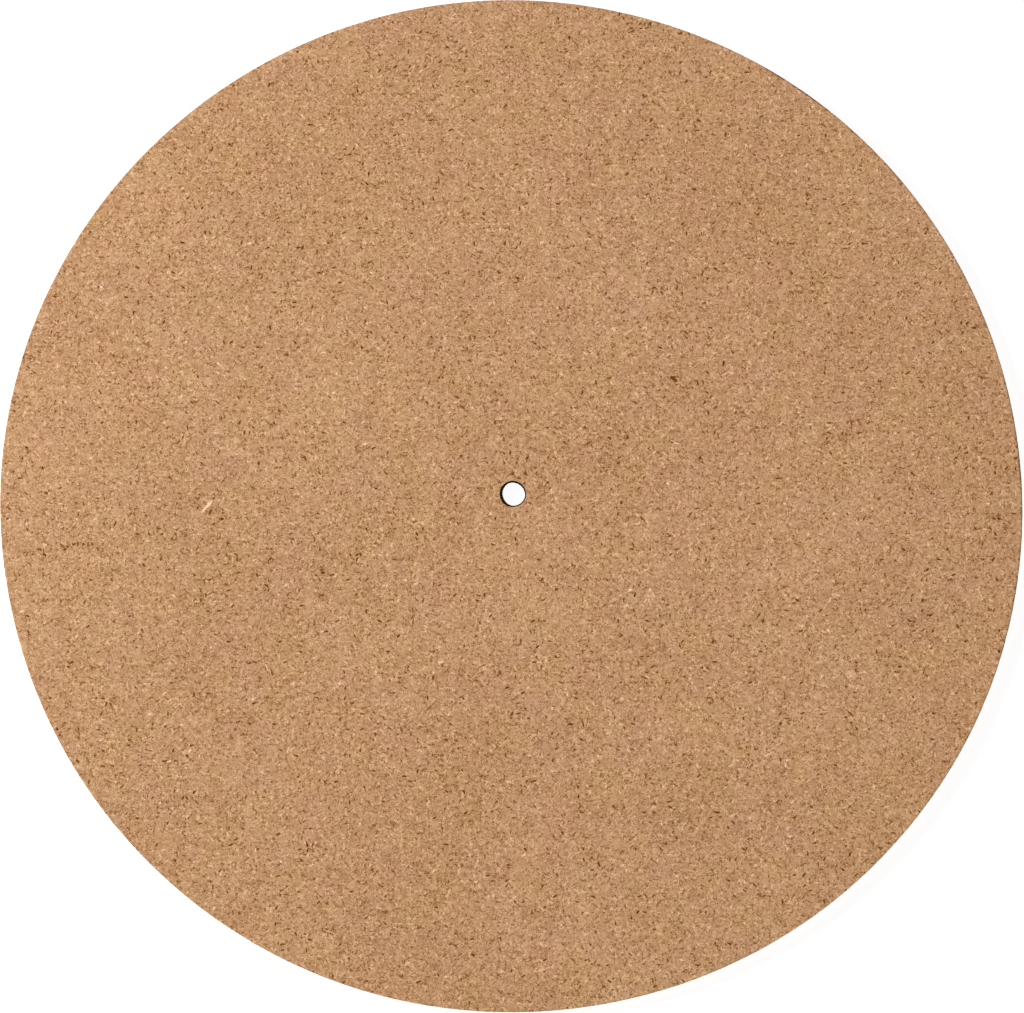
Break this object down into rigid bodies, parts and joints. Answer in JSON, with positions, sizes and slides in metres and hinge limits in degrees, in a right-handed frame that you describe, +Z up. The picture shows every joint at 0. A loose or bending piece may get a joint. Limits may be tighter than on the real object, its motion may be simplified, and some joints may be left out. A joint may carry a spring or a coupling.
{
  "type": "turntable platter mat",
  "caption": "Flat round cork mat with a small central spindle hole, laid on a turntable platter under the record.",
  "frame": {"origin": "centre of the underside, on the spindle's axis", "axes": "+Z up along the spindle's axis, from the underside to the face that carries the record; +X to the picture's right and +Y to its top, though the mat is the same all round"},
  "size_m": [0.3, 0.3, 0.003],
  "materials": {
    "cork": "bare agglomerated cork, pressed granules of light brown with small dark bark specks, matt"
  },
  "bodies": {
    "root": {"platter_mat": "cork"}
  },
  "joints": []
}
